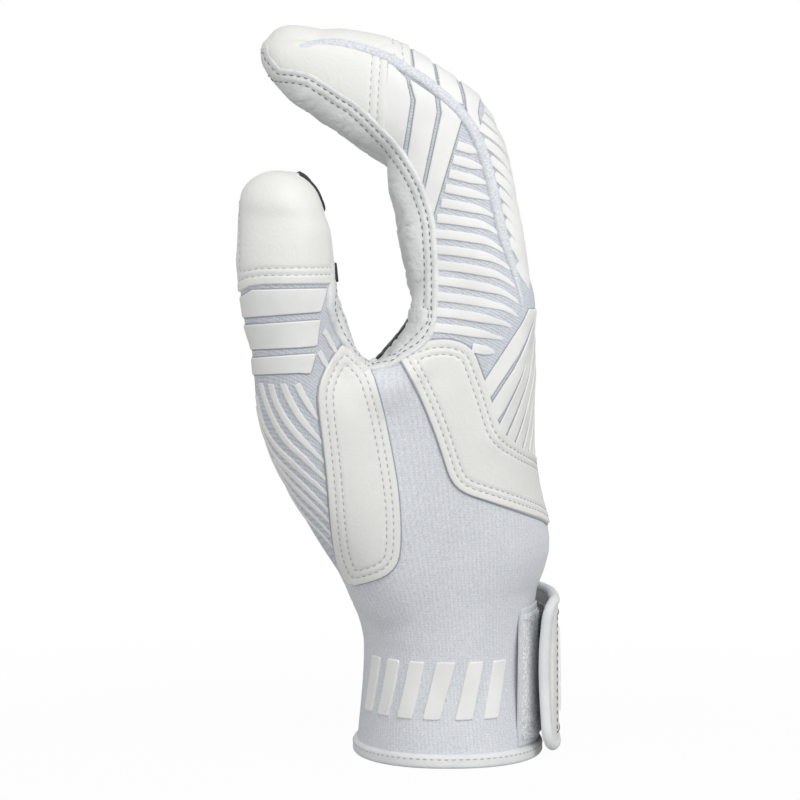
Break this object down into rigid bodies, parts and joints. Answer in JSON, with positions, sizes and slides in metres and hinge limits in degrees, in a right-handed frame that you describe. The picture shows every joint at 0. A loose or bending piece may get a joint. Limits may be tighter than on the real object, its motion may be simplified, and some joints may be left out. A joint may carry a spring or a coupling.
{
  "type": "batting glove",
  "caption": "Right-hand batting glove with a leather palm, ribbed stretch back, knit wrist panel, bound hem and hook-and-loop wrist strap, standing half closed on its cuff.",
  "frame": {"origin": "on the hem's plane, under the middle of the glove's bounding box", "axes": "+Z from the hem to the fingers, +X out of the back of the hand, -Y towards the thumb"},
  "size_m": [0.082, 0.1092, 0.1956],
  "materials": {
    "palm_leather": "soft grained sheepskin, light grey-white",
    "white_leather": "smooth pebbled synthetic leather, warm white",
    "wrist_knit": "fine knit over thin foam, pale grey-blue",
    "ribbed_mesh": "stretch mesh with raised white bars and ribs",
    "binding": "smooth white edge tape",
    "loop_pile": "grey brushed loop pile",
    "hook_pile": "grey moulded hooks",
    "black_grip": "matte black printed grip"
  },
  "bodies": {
    "hand": {"wrist_panel": "wrist_knit", "cuff_binding": "binding", "palm_panel": "palm_leather", "back_panel": "ribbed_mesh", "side_overlay": "white_leather", "web_patch": "palm_leather", "thumb_root_palm": "palm_leather", "thumb_root_back": "ribbed_mesh", "thumb_overlay": "white_leather", "index_knuckle_flex": "ribbed_mesh", "middle_knuckle_flex": "ribbed_mesh", "ring_knuckle_flex": "ribbed_mesh", "little_knuckle_flex": "ribbed_mesh", "thumb_knuckle_flex": "ribbed_mesh", "loop_pad": "loop_pile"},
    "index_base": {"index_base_palm": "palm_leather", "index_base_back": "ribbed_mesh", "index_far_side_gusset": "wrist_knit", "index_joint_flex": "ribbed_mesh"},
    "index_end": {"index_end_palm": "palm_leather", "index_end_back": "ribbed_mesh", "index_tip_cap": "white_leather"},
    "middle_base": {"middle_base_palm": "palm_leather", "middle_base_back": "ribbed_mesh", "middle_thumb_side_gusset": "wrist_knit", "middle_far_side_gusset": "wrist_knit", "middle_joint_flex": "ribbed_mesh"},
    "middle_end": {"middle_end_palm": "palm_leather", "middle_end_back": "ribbed_mesh", "middle_tip_cap": "white_leather"},
    "ring_base": {"ring_base_palm": "palm_leather", "ring_base_back": "ribbed_mesh", "ring_thumb_side_gusset": "wrist_knit", "ring_far_side_gusset": "wrist_knit", "ring_joint_flex": "ribbed_mesh"},
    "ring_end": {"ring_end_palm": "palm_leather", "ring_end_back": "ribbed_mesh", "ring_tip_cap": "white_leather"},
    "little_base": {"little_base_palm": "palm_leather", "little_base_back": "ribbed_mesh", "little_thumb_side_gusset": "wrist_knit", "little_joint_flex": "ribbed_mesh"},
    "little_end": {"little_end_palm": "palm_leather", "little_end_back": "ribbed_mesh", "little_tip_cap": "white_leather"},
    "thumb_base": {"thumb_base_palm": "palm_leather", "thumb_base_back": "ribbed_mesh", "thumb_joint_flex": "ribbed_mesh"},
    "thumb_end": {"thumb_end_palm": "palm_leather", "thumb_tip_cap": "white_leather", "thumb_grip": "black_grip"},
    "strap": {"strap_band": "ribbed_mesh", "hook_pad": "hook_pile", "strap_binding": "binding"}
  },
  "joints": [
    {"name": "index_knuckle", "type": "hinge", "parent": "hand", "child": "index_base", "pos_m": [0.00331, -0.02062, 0.11892], "axis": [0, -0.9981, 0.0611], "range_deg": [-11, 62], "stiffness_Nm_per_rad": 0.08, "deforming": ["index_knuckle_flex"]},
    {"name": "index_joint", "type": "hinge", "parent": "index_base", "child": "index_end", "pos_m": [-0.00451, -0.01816, 0.15909], "axis": [0, -0.9981, 0.0611], "range_deg": [-46, 50], "stiffness_Nm_per_rad": 0.08, "deforming": ["index_joint_flex"]},
    {"name": "middle_knuckle", "type": "hinge", "parent": "hand", "child": "middle_base", "pos_m": [0.00331, 0.00034, 0.11764], "axis": [0, -0.9981, 0.0611], "range_deg": [-11, 68], "stiffness_Nm_per_rad": 0.08, "deforming": ["middle_knuckle_flex"]},
    {"name": "middle_joint", "type": "hinge", "parent": "middle_base", "child": "middle_end", "pos_m": [-0.0047, 0.00286, 0.15879], "axis": [0, -0.9981, 0.0611], "range_deg": [-46, 50], "stiffness_Nm_per_rad": 0.08, "deforming": ["middle_joint_flex"]},
    {"name": "ring_knuckle", "type": "hinge", "parent": "hand", "child": "ring_base", "pos_m": [0.00331, 0.0213, 0.11636], "axis": [0, -0.9981, 0.0611], "range_deg": [-11, 68], "stiffness_Nm_per_rad": 0.08, "deforming": ["ring_knuckle_flex"]},
    {"name": "ring_joint", "type": "hinge", "parent": "ring_base", "child": "ring_end", "pos_m": [-0.00451, 0.02376, 0.15653], "axis": [0, -0.9981, 0.0611], "range_deg": [-43, 52], "stiffness_Nm_per_rad": 0.08, "deforming": ["ring_joint_flex"]},
    {"name": "little_knuckle", "type": "hinge", "parent": "hand", "child": "little_base", "pos_m": [0.00331, 0.04226, 0.11508], "axis": [0, -0.9981, 0.0611], "range_deg": [-5, 70], "stiffness_Nm_per_rad": 0.08, "deforming": ["little_knuckle_flex"]},
    {"name": "little_joint", "type": "hinge", "parent": "little_base", "child": "little_end", "pos_m": [0.00026, 0.04439, 0.14988], "axis": [0, -0.9981, 0.0611], "range_deg": [-21, 70], "stiffness_Nm_per_rad": 0.08, "deforming": ["little_joint_flex"]},
    {"name": "thumb_knuckle", "type": "hinge", "parent": "hand", "child": "thumb_base", "pos_m": [-0.0233, -0.02724, 0.10999], "axis": [0.8908, -0.4504, -0.0607], "range_deg": [-38, 4], "stiffness_Nm_per_rad": 0.08, "deforming": ["thumb_knuckle_flex"]},
    {"name": "thumb_joint", "type": "hinge", "parent": "thumb_base", "child": "thumb_end", "pos_m": [-0.0249, -0.03312, 0.13009], "axis": [0.8908, -0.4504, -0.0607], "range_deg": [-52, 4], "stiffness_Nm_per_rad": 0.08, "deforming": ["thumb_joint_flex"]},
    {"name": "strap_peel", "type": "hinge", "parent": "hand", "child": "strap", "pos_m": [0.02021, 0.0433, 0.0276], "axis": [0, 0, 1], "range_deg": [0, 75]}
  ]
}
